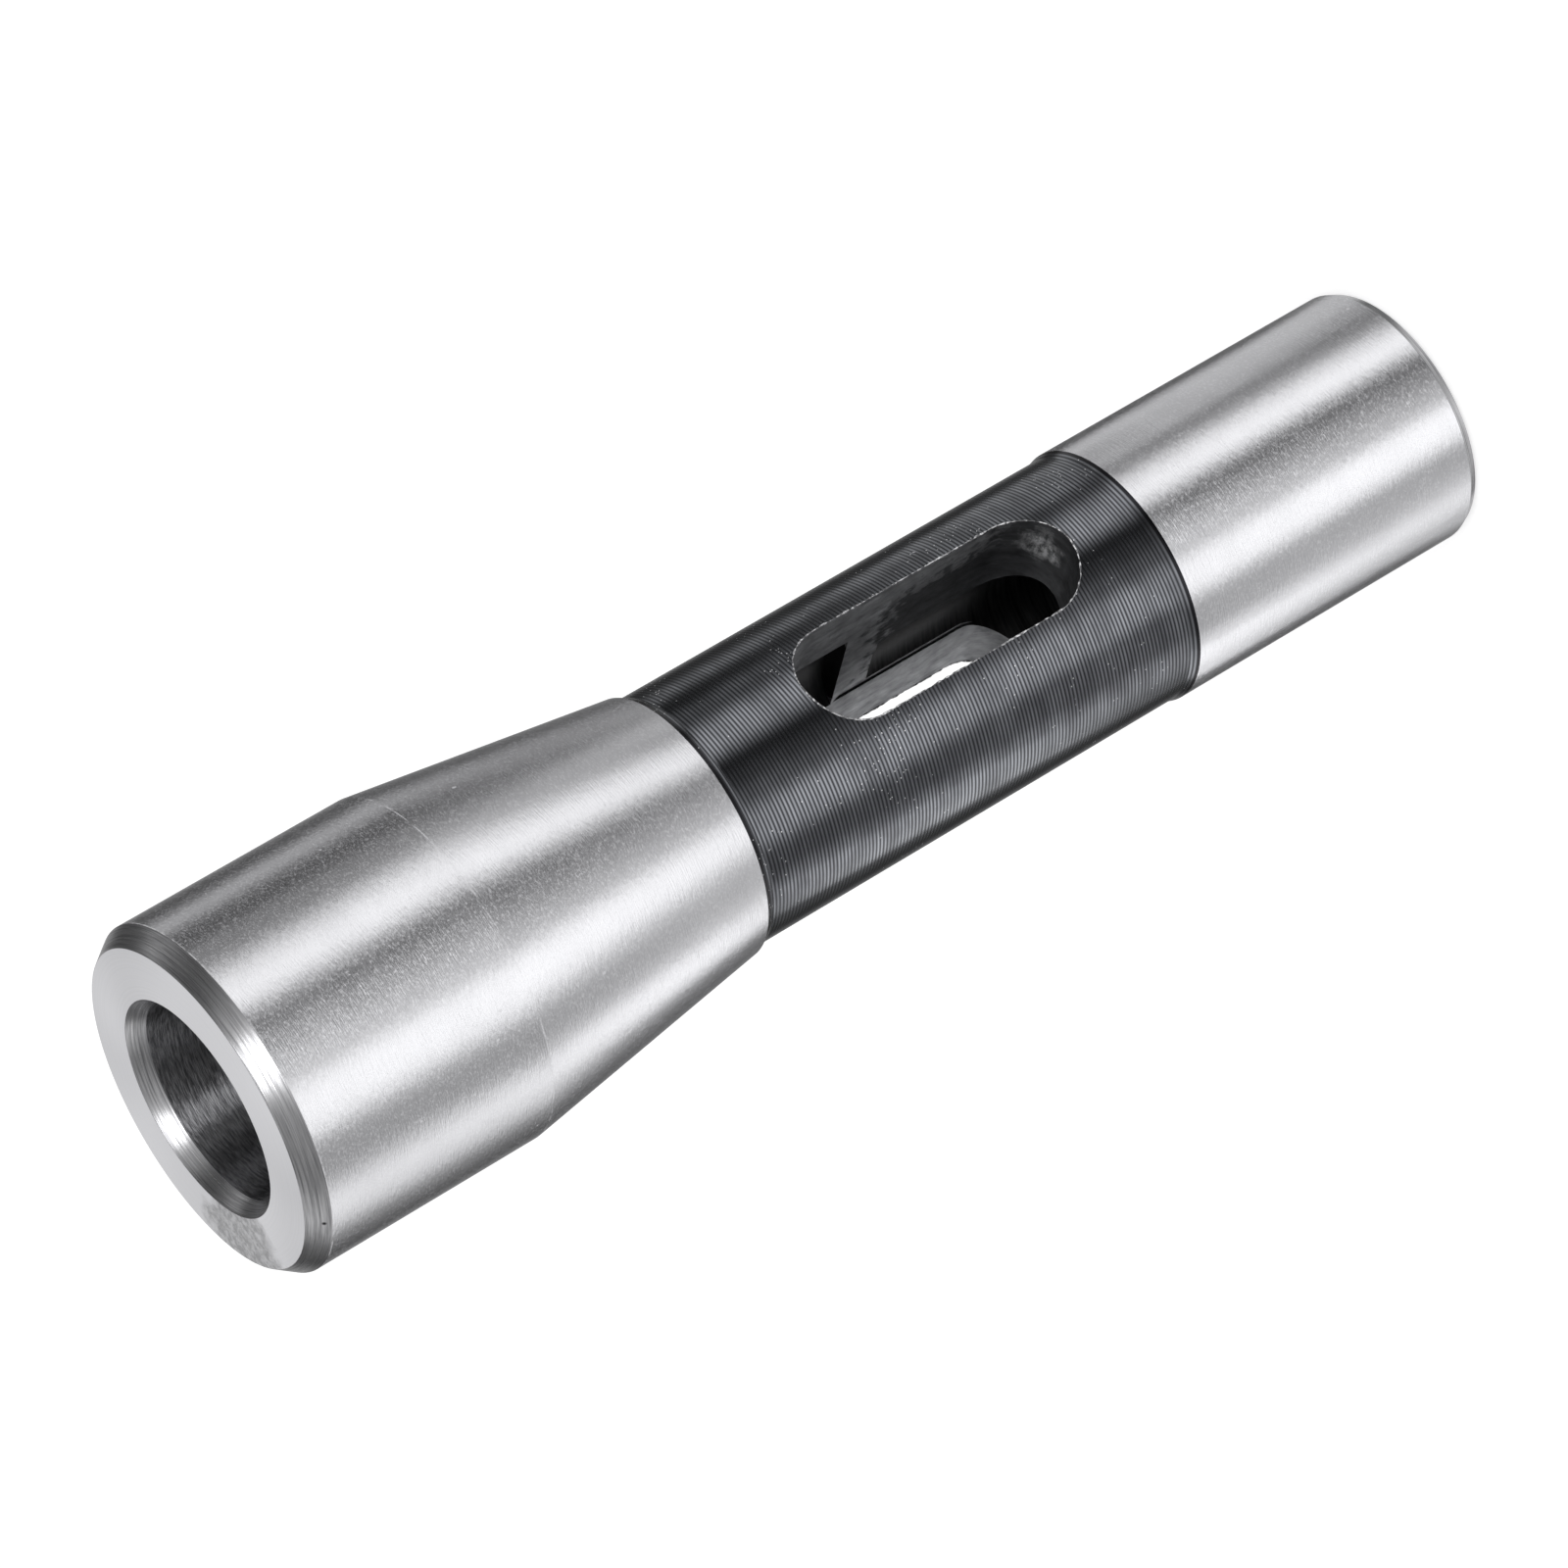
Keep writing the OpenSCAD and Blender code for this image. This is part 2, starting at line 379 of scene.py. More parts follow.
def ground_steel():
    """Cylindrically ground tool steel: bright, with hair-fine marks round the axis."""
    finish, tree, output, place = new_finish("tool_steel_cylindrically_ground")
    # Real marks are a few hundredths of a millimetre apart, drawn at 0.12 mm so that they show
    marks = stretched_noise(tree, place, (260, 260, 8200))
    # Loose grit also leaves short scratches a fifth of a millimetre long, which sparkle
    grit = stretched_noise(tree, place, (900, 900, 7500), detail=1.5)
    sparkle = stretched_noise(tree, place, (3500, 3500, 6200), detail=2.0, roughness=0.7)
    # The wheel cut a little smoother in some patches, about a centimetre long, than in others
    patches = stretched_noise(tree, place, (90, 90, 260), detail=2.0)
    # A grain that was torn, not cut, is a little paler, and scatters light up and down, so it
    # glints where the lamp is
    torn = add(tree, RANGE, (sparkle, 0.5, 0.68, 0.0, 1.0)).outputs[0]
    both = add(tree, MATH, (marks, 0.5, torn), operation="MULTIPLY_ADD")
    shade = add(tree, RANGE, (both.outputs[0], 0.0, 1.4, 0.0, 1.0)).outputs[0]
    colour = add(
        tree, MIX, {"Factor": shade, "A": linear("#DFDFE2"), "B": linear("#F6F6F9")},
        data_type="RGBA",
    )
    rough = add(tree, RANGE, (patches, 0.35, 0.65, 0.285, 0.305)).outputs[0]
    rough = add(tree, MATH, (torn, 0.07, rough), operation="MULTIPLY_ADD").outputs[0]
    # The corners at both ends of the nose are knocked about in use: broken pale lines
    up = add(tree, "ShaderNodeSeparateXYZ", {"Vector": place}).outputs["Z"]
    off = add(tree, MATH, (up, -CONE_TOP * MM), operation="ADD")
    off = add(tree, MATH, (off.outputs[0],), operation="ABSOLUTE")
    edge = add(tree, MATH, (up, -NOSE_EDGE * MM), operation="ADD")
    edge = add(tree, MATH, (edge.outputs[0],), operation="ABSOLUTE")
    nearest = add(tree, MATH, (off.outputs[0], edge.outputs[0]), operation="MINIMUM")
    line = add(tree, RANGE, (nearest.outputs[0], 0.02 * MM, 0.11 * MM, 1.0, 0.0)).outputs[0]
    broken = stretched_noise(tree, place, (900, 900, 1500))
    broken = add(tree, RANGE, (broken, 0.4, 0.6, 0.0, 1.0)).outputs[0]
    line = add(tree, MATH, (line, broken), operation="MULTIPLY").outputs[0]
    # Nicks and dents lie scattered all over, and thickest beside the corner of nose and cone
    near_corner = add(tree, RANGE, (off.outputs[0], 0.2 * MM, 2.2 * MM, 0.14, 0.014)).outputs[0]
    dents = scattered_spots(tree, place, (1300, 1300, 900), near_corner, 0.19)
    worn = add(tree, MATH, (line, dents), operation="MAXIMUM").outputs[0]
    relief = add(tree, MATH, (marks, 0.3, grit), operation="MULTIPLY_ADD")
    relief = add(tree, MATH, (sparkle, 0.2, relief.outputs[0]), operation="MULTIPLY_ADD")
    # A torn grain scatters some of the light as a matt surface does, like a worn one but less
    loose = add(tree, MATH, (torn, 0.4), operation="MULTIPLY").outputs[0]
    loose = add(tree, MATH, (worn, loose), operation="MAXIMUM").outputs[0]
    bare = add(tree, RANGE, (loose, 0.0, 1.0, 1.0, 0.35)).outputs[0]
    relief = relief.outputs[0]
    metal(tree, output, colour.outputs[2], rough, relief, 0.034, grain=1.0, metallic=bare)
    return finish


# %% turned steel: chamfers and countersink
NICK = (-15.28 * MM, -3.16 * MM, (LENGTH - 1.3) * MM)


def turned_steel():
    """Steel left from the turning tool: greyer, with wider marks that the eye can follow."""
    finish, tree, output, place = new_finish("tool_steel_turned")
    # A turning tool feeds about 0.1 mm a turn
    marks = stretched_noise(tree, place, (190, 190, 8500), roughness=0.6)
    shade = add(tree, RANGE, (marks, 0.3, 0.7, 0.0, 1.0)).outputs[0]
    colour = add(
        tree, MIX, {"Factor": shade, "A": linear("#8E8E91"), "B": linear("#E2E2E4")},
        data_type="RGBA",
    )
    # A knock has left one dark nick on the chamfer round the nose
    apart = add(tree, "ShaderNodeVectorMath", (place, NICK), operation="DISTANCE")
    nick = add(tree, RANGE, (apart.outputs["Value"], 0.12 * MM, 0.26 * MM, 1.0, 0.0)).outputs[0]
    colour = add(
        tree, MIX, {"Factor": nick, "A": colour.outputs[2], "B": linear("#39393B")},
        data_type="RGBA",
    )
    rough = add(tree, RANGE, (marks, 0.3, 0.7, 0.38, 0.26)).outputs[0]
    metal(tree, output, colour.outputs[2], rough, marks, 0.016, grain=0.6)
    return finish


# %% faced steel: the two end faces
ROUGH_PATCH = (-8.2 * MM, 10.4 * MM, LENGTH * MM)


def faced_steel():
    """A faced end: marks in rings round the axis, and small pits left by the saw."""
    finish, tree, output, place = new_finish("tool_steel_faced")
    split = add(tree, "ShaderNodeSeparateXYZ", {"Vector": place})
    squares = [
        add(tree, MATH, (split.outputs[axis], 2.0), operation="POWER").outputs[0]
        for axis in ("X", "Y")
    ]
    total = add(tree, MATH, (squares[0], squares[1]), operation="ADD")
    ring = add(tree, MATH, (total.outputs[0],), operation="SQRT").outputs[0]
    # The facing tool fed 0.2 mm a turn, so its rings lie that far apart
    along = add(tree, "ShaderNodeCombineXYZ", {"X": ring, "Y": 0.0, "Z": 0.0})
    marks = stretched_noise(tree, along.outputs["Vector"], (5200, 0, 0))
    # Handling left a fine matt tooth, drawn as coarse as the rings so that it shows
    tooth = stretched_noise(tree, place, (5200, 5200, 5200), detail=2.0)
    # One side of the nose face kept the rough skin of the sawn bar, as a patch of shallow pits
    apart = add(tree, "ShaderNodeVectorMath", (place, ROUGH_PATCH), operation="DISTANCE")
    ragged = stretched_noise(tree, place, (420, 420, 420))
    reach = add(
        tree, MATH, (ragged, -5.0 * MM, apart.outputs["Value"]), operation="MULTIPLY_ADD",
    )
    patch = add(tree, RANGE, (reach.outputs[0], 1.6 * MM, 3.4 * MM, 1.0, 0.0)).outputs[0]
    pits = stretched_noise(tree, place, (1500, 1500, 1500), roughness=0.7)
    pit = add(tree, RANGE, (pits, 0.4, 0.6, 0.0, 1.0)).outputs[0]
    # Slow clouds, nearly two centimetres wide, shade the face as a whole
    wide = stretched_noise(tree, place, (55, 55, 55), detail=1.0)
    shade = add(tree, MATH, (marks, 0.35, wide), operation="MULTIPLY_ADD")
    shade = add(tree, RANGE, (shade.outputs[0], 0.5, 0.85, 0.0, 1.0)).outputs[0]
    colour = add(
        tree, MIX, {"Factor": shade, "A": linear("#C4C4C7"), "B": linear("#DCDCDF")},
        data_type="RGBA",
    )
    sunk = add(tree, MATH, (patch, pit), operation="MULTIPLY").outputs[0]
    pitted = add(
        tree, MIX, {"Factor": pit, "A": linear("#A4A4A6"), "B": linear("#CACACC")},
        data_type="RGBA",
    )
    colour = add(
        tree, MIX, {"Factor": patch, "A": colour.outputs[2], "B": pitted.outputs[2]},
        data_type="RGBA",
    )
    rough = add(tree, RANGE, (marks, 0.3, 0.7, 0.3, 0.36)).outputs[0]
    rough = add(tree, MATH, (patch, 0.12, rough), operation="MULTIPLY_ADD").outputs[0]
    fine = add(tree, MATH, (tooth, 0.5, marks), operation="MULTIPLY_ADD")
    fine = add(tree, MATH, (sunk, 7.0, fine.outputs[0]), operation="MULTIPLY_ADD")
    metal(tree, output, colour.outputs[2], rough, fine.outputs[0], 0.003)
    return finish


# %% black oxide on the turned waist
def black_oxide_turned():
    """Turned steel under black oxide: nearly black, with a shine that runs along the ridges."""
    finish, tree, output, place = new_finish("black_oxide_on_turned_steel")
    split = add(tree, "ShaderNodeSeparateXYZ", {"Vector": place})
    turns = add(
        tree, MATH,
        (split.outputs["Z"], 2 * math.pi / (GROOVE_PITCH * MM)), operation="MULTIPLY",
    )
    wave = add(tree, MATH, (turns.outputs[0],), operation="SINE").outputs[0]
    # Finer marks lie between the ridges, 0.14 mm apart
    marks = stretched_noise(tree, place, (200, 200, 7000))
    ridge = add(tree, RANGE, (wave, -1.0, 1.0, 0.0, 1.0)).outputs[0]
    fade = stretched_noise(tree, place, (240, 240, 420))
    fade = add(tree, RANGE, (fade, 0.3, 0.7, 0.32, 0.66)).outputs[0]
    # Some turns of the tool tore more than others, so the ridges are not all alike
    uneven = stretched_noise(tree, place, (90, 90, 3400))
    uneven = add(tree, RANGE, (uneven, 0.3, 0.7, 0.8, 1.16)).outputs[0]
    fade = add(tree, MATH, (fade, uneven), operation="MULTIPLY").outputs[0]
    ridge = add(tree, MATH, (ridge, fade), operation="MULTIPLY")
    shade = add(tree, RANGE, (ridge.outputs[0], 0.0, 0.55, 0.0, 1.0)).outputs[0]
    colour = add(
        tree, MIX, {"Factor": shade, "A": linear("#38393C"), "B": linear("#888A8F")},
        data_type="RGBA",
    )
    # The short slopes at both ends of the waist are dead black
    slopes = []
    up = split.outputs["Z"]
    for low, high in ((SHANK_TOP, SHANK_TOP + 0.35), (CONE_END - 0.45, CONE_END)):
        above = add(tree, RANGE, (up, low * MM, (low + 0.02) * MM, 0.0, 1.0)).outputs[0]
        below = add(tree, RANGE, (up, (high - 0.08) * MM, high * MM, 1.0, 0.0)).outputs[0]
        slopes.append(add(tree, MATH, (above, below), operation="MULTIPLY").outputs[0])
    slope = add(tree, MATH, (slopes[0], slopes[1]), operation="MAXIMUM").outputs[0]
    colour = add(
        tree, MIX, {"Factor": slope, "A": colour.outputs[2], "B": linear("#2C2C2F")},
        data_type="RGBA",
    )
    # Dust and bare pinpricks, a tenth of a millimetre across, lie about in drifts
    drift = stretched_noise(tree, place, (150, 150, 150))
    drift = add(tree, RANGE, (drift, 0.54, 0.68, 0.008, 0.5)).outputs[0]
    speck = scattered_spots(tree, place, (3000, 3000, 3000), drift, 0.17)
    colour = add(
        tree, MIX, {"Factor": speck, "A": colour.outputs[2], "B": linear("#E2E2E4")},
        data_type="RGBA",
    )
    # The ridges are rubbed smooth, and the torn bottoms of the grooves scatter the light
    rough = add(tree, RANGE, (ridge.outputs[0], 0.0, 0.5, 0.3, 0.2)).outputs[0]
    bare = add(tree, RANGE, (speck, 0.0, 1.0, 1.0, 0.4)).outputs[0]
    metal(tree, output, colour.outputs[2], rough, marks, 0.003, grain=0.9, metallic=bare)
    return finish


# %% black oxide on the milled slot
# Where the painted highlight sits on the slot's round end
HIGHLIGHT_SPOT = (2.1 * MM, -8.4 * MM, 39.4 * MM)


def black_oxide_milled():
    """The slot's walls: milled in lines that run round the slot, under the same black oxide."""
    finish, tree, output, place = new_finish("black_oxide_on_milled_steel")
    # The end mill's lines lie a bit under 0.3 mm apart, and the oxide's blots are 1 to 2 mm wide
    marks = stretched_noise(tree, place, (260, 3600, 260), detail=4.0, roughness=0.65)
    blots = stretched_noise(tree, place, (600, 900, 600), detail=4.0)
    both = add(tree, MATH, (marks, 0.6, blots), operation="MULTIPLY_ADD")
    shade = add(tree, RANGE, (both.outputs[0], 0.4, 1.25, 0.0, 1.0)).outputs[0]
    colour = add(
        tree, MIX, {"Factor": shade, "A": linear("#606164"), "B": linear("#D0D1D4")},
        data_type="RGBA",
    )
    # Painted shade: deep in the slot, from its middle to its round end, the walls are darker
    split = add(tree, "ShaderNodeSeparateXYZ", {"Vector": place})
    wander = add(tree, RANGE, (blots, 0.3, 0.7, -2.5 * MM, 2.5 * MM)).outputs[0]
    height = add(tree, MATH, (split.outputs["Z"], wander), operation="ADD").outputs[0]
    depth = add(tree, MATH, (split.outputs["Y"], wander), operation="ADD").outputs[0]
    middle = add(tree, RANGE, (height, 55 * MM, 53 * MM, 0.0, 1.0)).outputs[0]
    inside = add(tree, RANGE, (depth, -8.2 * MM, -6.8 * MM, 0.0, 1.0)).outputs[0]
    round_end = add(tree, RANGE, (height, 44.5 * MM, 41.5 * MM, 0.0, 1.0)).outputs[0]
    inside = add(tree, MATH, (inside, round_end), operation="MAXIMUM").outputs[0]
    front_half = add(tree, RANGE, (split.outputs["Y"], 5 * MM, 3 * MM, 0.0, 1.0)).outputs[0]
    darker = add(tree, MATH, (middle, inside), operation="MULTIPLY").outputs[0]
    darker = add(tree, MATH, (darker, front_half), operation="MULTIPLY").outputs[0]
    # A darker copy of the oxide's colours, painted where shade falls inside the slot
    painted_shade_tone = add(
        tree, MIX, {"Factor": shade, "A": linear("#2A2A2C"), "B": linear("#7C7D80")},
        data_type="RGBA",
    )
    colour = add(
        tree, MIX, {"Factor": darker, "A": colour.outputs[2], "B": painted_shade_tone.outputs[2]},
        data_type="RGBA",
    )
    # Painted highlight: one bright streaked spot on the round end of the slot, near the mouth
    apart = add(tree, "ShaderNodeVectorMath", (place, HIGHLIGHT_SPOT), operation="DISTANCE")
    streaks = stretched_noise(tree, place, (1900, 900, 1900), detail=4.0, roughness=0.7)
    reach = add(
        tree, MATH, (blots, -3.2 * MM, apart.outputs["Value"]), operation="MULTIPLY_ADD",
    )
    painted_highlight = add(tree, RANGE, (reach.outputs[0], -0.9 * MM, 0.7 * MM, 1.0, 0.0)).outputs[0]
    streaked = add(tree, RANGE, (streaks, 0.38, 0.6, 0.1, 1.0)).outputs[0]
    painted_highlight = add(tree, MATH, (painted_highlight, streaked), operation="MULTIPLY").outputs[0]
    colour = add(
        tree, MIX, {"Factor": painted_highlight, "A": colour.outputs[2], "B": linear("#F0F0F2")},
        data_type="RGBA",
    )
    rough = add(tree, RANGE, (marks, 0.3, 0.7, 0.5, 0.7)).outputs[0]
    metal(tree, output, colour.outputs[2], rough, both.outputs[0], 0.05)
    return finish


# %% bare drilled holes, the reamed socket and torn edges
def marked_metal(name, scale, detail, span, colours, roughness, bump_mm, **settings):
    """A finish whose marks alone set its colour and its roughness.

    The span is the part of the marks' range over which the colour changes."""
    finish, tree, output, place = new_finish(name)
    marks = stretched_noise(tree, place, scale, detail)
    shade = add(tree, RANGE, (marks, *span, 0.0, 1.0)).outputs[0]
    colour = add(
        tree, MIX, {"Factor": shade, "A": linear(colours[0]), "B": linear(colours[1])},
        data_type="RGBA",
    )
    rough = add(tree, RANGE, (marks, 0.3, 0.7, *roughness)).outputs[0]
    metal(tree, output, colour.outputs[2], rough, marks, bump_mm, **settings)
    return finish


def drilled_steel():
    """A drilled hole: dark, with the drill's marks round it, a third of a millimetre apart."""
    return marked_metal(
        "tool_steel_drilled", (200, 200, 3000), 3.0, (0.3, 0.7), ("#2A2A2B", "#4A4A4B"),
        (0.4, 0.55), 0.015, grain=0.4,
    )


def reamed_steel():
    """The taper socket: reamed, painted darker for the shade of a bore that sees itself, with
    fine ridges round it.

    A ridge that tilts far enough mirrors the lamp, so the ridges glint in a narrow band. Real
    ridges are finer, and are drawn at 0.2 mm so that they show."""
    # Its dark colours are painted shade for the inside of the bore
    return marked_metal(
        "tool_steel_reamed", (800, 800, 5200), 2.0, (0.35, 0.65), ("#707073", "#A6A6A9"),
        (0.38, 0.42), 0.08, grain=1.0,
    )


def burr_steel():
    """Torn bare steel: bright from every side, because a burr has no flat face.

    Its tears are a third of a millimetre long."""
    return marked_metal(
        "tool_steel_burr", (3000, 3000, 3000), 3.0, (0.44, 0.66), ("#626264", "#F6F6F8"),
        (0.4, 0.6), 0.01, metallic=0.3,
    )


# %% give each face the finish of the tool that cut it
FINISHES = {
    "ground": ground_steel(), "turned": turned_steel(), "faced": faced_steel(),
    "oxide": black_oxide_turned(), "milled": black_oxide_milled(),
    "drilled": drilled_steel(), "reamed": reamed_steel(),
}
ORDER = list(FINISHES)
# A face is told by its middle, which lies a little off the sizes that its tool cut to
SLACK = 0.05
PASS_REACH = 7.0  # just past the second pass, front and back
KEY_FLOOR_R, KEY_END = 9.0, 26.0  # just inside the keyway's floor, and just past its end
body.data.materials.clear()
for name in ORDER:
    body.data.materials.append(FINISHES[name])


def from_slot_wall(x, z):
    """How far a point is from the slot's outline, seen along the slot."""
    nearest = min(max(z, SLOT_LOW + SLOT_R), SLOT_HIGH - SLOT_R)
    return abs(math.hypot(x, z - nearest) - SLOT_R)


def finish_of(centre, normal):
    """The finish of a face, told by where it lies and which way it faces."""
    x, y, z = centre
    ring = math.hypot(x, y)
    if abs(normal.y) < 0.3 and ring < WAIST_R - 0.02:
        off_wall = from_slot_wall(x, z)
        in_second_pass = SLOT_LOW - 2 * SLACK < z < SLOT_HIGH and x > 0 and abs(y) < PASS_REACH
        if off_wall < 0.04 or in_second_pass and off_wall < SECOND_PASS + SLACK:
            return "milled"
    if z > LENGTH - 0.03 and normal.z > 0.9 or z < 0.03 and normal.z < -0.9:
        return "faced"
    if z > LENGTH - NOSE_CHAMFER_LENGTH - SLACK:
        on_chamfer = ring > NOSE_R - NOSE_CHAMFER_WIDTH - SLACK and normal.z > 0.1
        if on_chamfer or ring < MOUTH_R + 2 * SLACK:
            return "turned" if ring > LEAD_R - 0.02 else "reamed"
    if ring > SHANK_R - SHANK_CHAMFER_WIDTH - SLACK and z < SHANK_CHAMFER_LENGTH + SLACK:
        return "turned"
    if ring > WAIST_R - 2 * SLACK:
        return "ground" if z > CONE_END or z < SHANK_TOP else "oxide"
    if z > TAPER_END_Z + 0.01:
        return "reamed"
    if ring > KEY_FLOOR_R and z < KEY_END:
        return "milled"
    return "drilled"


counts = dict.fromkeys(ORDER, 0)
for face in body.data.polygons:
    chosen = finish_of(face.center / MM, face.normal)
    face.material_index = ORDER.index(chosen)
    counts[chosen] += 1
print("faces of each finish:", counts)
clear_selection()
body.select_set(True)
bpy.context.view_layer.objects.active = body
bpy.ops.object.shade_smooth_by_angle(angle=math.radians(20))
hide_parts("adapter_body")
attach(body, "root")

# %% [markdown]
# ## The burr round the slot
# Milling throws up a thin bright burr where the slot breaks out of the waist. It is a hair-thin
# wire that follows the edge, thicker here and thinner there. A ring of points is moved on to the
# edge and made a curve, because a curve can have a different thickness at each point.

# %% burr round each mouth of the slot
BURR_FINISH = burr_steel()
BURR_POINTS = 220
BURR_R, BURR_WANDER = 0.065, 0.02  # the wire's thickness, and how far it strays, in mm


def burr(name, side, seed):
    """One closed wire round the slot's mouth at the front (side -1) or the back (side 1)."""
    clear_selection()
    bpy.ops.mesh.primitive_circle_add(vertices=BURR_POINTS, radius=SLOT_R * MM)
    ring = bpy.context.object
    ring.name = name
    straight = SLOT_HIGH - SLOT_LOW - 2 * SLOT_R
    around = 2 * straight + 2 * math.pi * SLOT_R
    chance = random.Random(seed)
    for index, vertex in enumerate(ring.data.vertices):
        way = index / BURR_POINTS * around
        if way < straight:
            x, z = SLOT_R, SLOT_LOW + SLOT_R + way
        elif way < straight + math.pi * SLOT_R:
            angle = (way - straight) / SLOT_R
            x, z = SLOT_R * math.cos(angle), SLOT_HIGH - SLOT_R + SLOT_R * math.sin(angle)
        elif way < 2 * straight + math.pi * SLOT_R:
            x, z = -SLOT_R, SLOT_HIGH - SLOT_R - (way - straight - math.pi * SLOT_R)
        else:
            angle = math.pi + (way - 2 * straight - math.pi * SLOT_R) / SLOT_R
            x, z = SLOT_R * math.cos(angle), SLOT_LOW + SLOT_R + SLOT_R * math.sin(angle)
        y = side * math.sqrt(WAIST_R**2 - x * x)
        wander = chance.uniform(-BURR_WANDER, BURR_WANDER)
        vertex.co = Vector((x + wander, y, z + wander)) * MM
    bpy.ops.object.convert(target="CURVE")
    ring.data.bevel_depth, ring.data.bevel_resolution = BURR_R * MM, 1
    swell = 1.0
    for point in ring.data.splines[0].points:
        swell = 0.5 * swell + 0.5 * chance.uniform(0.1, 2.0)
        point.radius = swell if chance.random() < 0.85 else 0.15
    bpy.ops.object.convert(target="MESH")
    ring.data.materials.clear()
    ring.data.materials.append(BURR_FINISH)
    bpy.ops.object.shade_smooth()
    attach(ring, "root")
    print(name, "faces:", len(ring.data.polygons))


burr("slot_burr_front", -1, 3)
burr("slot_burr_back", 1, 5)

# %% [markdown]
# ## The drawbar thread
# The drawbar screws into the shank's end. A thread is one ridge wound round like a spring, so
# the ridge's cross-section is drawn once and the Screw modifier winds it up the hole.

# %% thread
clear_selection()
bpy.ops.mesh.primitive_plane_add(size=MM)
thread = bpy.context.object
thread.name = thread.data.name = "drawbar_thread"
ROOT_R, THREAD_START, THREAD_TURNS = THREAD_R + 0.03, 0.35, 14
corners = [(ROOT_R, 0.0), (ROOT_R, 1.6), (CORE_R, 0.98), (CORE_R, 0.62)]
bpy.ops.object.mode_set(mode="EDIT")
bpy.ops.mesh.delete(type="ONLY_FACE")
bpy.ops.object.mode_set(mode="OBJECT")
around_plane = [0, 1, 3, 2]
for vertex_index, (r, z) in zip(around_plane, corners):
    thread.data.vertices[vertex_index].co = Vector((r, 0, z + THREAD_START)) * MM
winding = thread.modifiers.new("winding", "SCREW")
winding.screw_offset, winding.iterations = THREAD_PITCH * MM, THREAD_TURNS
winding.steps = winding.render_steps = 64
winding.use_merge_vertices = False
bpy.ops.object.modifier_apply(modifier=winding.name)
bpy.ops.object.mode_set(mode="EDIT")
bpy.ops.mesh.select_all(action="DESELECT")
bpy.ops.mesh.select_non_manifold()
bpy.ops.mesh.fill_holes(sides=4)
bpy.ops.mesh.select_all(action="SELECT")
bpy.ops.mesh.normals_make_consistent(inside=False)
bpy.ops.object.mode_set(mode="OBJECT")
thread.data.materials.clear()
thread.data.materials.append(FINISHES["drilled"])
bpy.ops.object.shade_smooth_by_angle(angle=math.radians(25))
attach(thread, "root")
print("thread faces:", len(thread.data.polygons))

# %% [markdown]
# ## Floor and light
# The part stands on a plain pale floor in an even white room. Bright metal has no colour of its
# own: it shows the room, so a room that is white all round would make it flat. Product
# photographers stand grey cards round polished steel to give it dark bands, and so do the cells
# below. Only the metal sees the cards: the floor and the background stay plain.

# %% room
scene = bpy.context.scene
scene.view_settings.view_transform = "Standard"
ROOM_LIGHT = 0.85


def seen_directly(tree):
    """1 for the camera's own rays, and those that come by a mirror or through a glass, else 0."""
    path = add(tree, "ShaderNodeLightPath")
    rays = [path.outputs[f"Is {kind} Ray"] for kind in ("Camera", "Glossy", "Transmission")]
    seen = add(tree, MATH, (rays[0], rays[1]), operation="MAXIMUM")
    return add(tree, MATH, (seen.outputs[0], rays[2]), operation="MAXIMUM").outputs[0]


world = bpy.data.worlds.new("white_room")
scene.world = world
world.use_nodes = True
world.cycles.sampling_method = "NONE"
tree = world.node_tree
tree.nodes.clear()
level = add(tree, RANGE, (seen_directly(tree), 0.0, 1.0, ROOM_LIGHT, 1.0)).outputs[0]
sky = add(tree, "ShaderNodeBackground", {"Color": linear("#FFFFFF"), "Strength": level})
add(tree, "ShaderNodeOutputWorld", {"Surface": sky.outputs["Background"]})

# %% floor
clear_selection()
FLOOR_R, FLOOR_DROP, FLOOR_GLOW = 4.0, 0.0003, 0.58
bpy.ops.mesh.primitive_circle_add(
    vertices=96, radius=FLOOR_R, fill_type="NGON", location=(0, 0, -FLOOR_DROP),
)
floor = bpy.context.object
floor.name = "floor"
pale, tree, output = new_material("matt_white_board")
board = add(tree, "ShaderNodeBsdfDiffuse", {"Color": linear("#C6C6C6")})
level = add(tree, RANGE, (seen_directly(tree), 0.0, 1.0, 0.0, FLOOR_GLOW)).outputs[0]
glow = add(tree, "ShaderNodeEmission", {"Color": linear("#FFFFFF"), "Strength": level})
both = add(tree, "ShaderNodeAddShader", (board.outputs[0], glow.outputs[0]))
tree.links.new(both.outputs[0], output.inputs["Surface"])
floor.data.materials.append(pale)
floor.visible_glossy = False

# %% [markdown]
# ## Screens
# Two ring-shaped screens stand round the part: a low one, which the upright walls mirror, and a
# high one, which the chamfers and the faces mirror. Bright bands with soft edges are drawn on
# them. The screens only show in the metal: camera and diffuse light pass them by.

# %% screens that only the metal sees
CAMERA_AZIMUTH = math.degrees(math.atan2(CAMERA_PLACE[1], CAMERA_PLACE[0]))
SCREEN_R, SCREEN_LOW, SCREEN_EDGE, SCREEN_HIGH = 1.5, -62, 10, 62
MID_HEIGHT = 0.06


def hidden_but_for_gloss(sheet, paper):
    """Gives a sheet its glowing paper, and hides it from all but the metal's reflections."""
    paper.cycles.emission_sampling = "NONE"
    sheet.data.materials.append(paper)
    sheet.visible_camera = sheet.visible_diffuse = sheet.visible_shadow = False
    sheet.visible_transmission = False


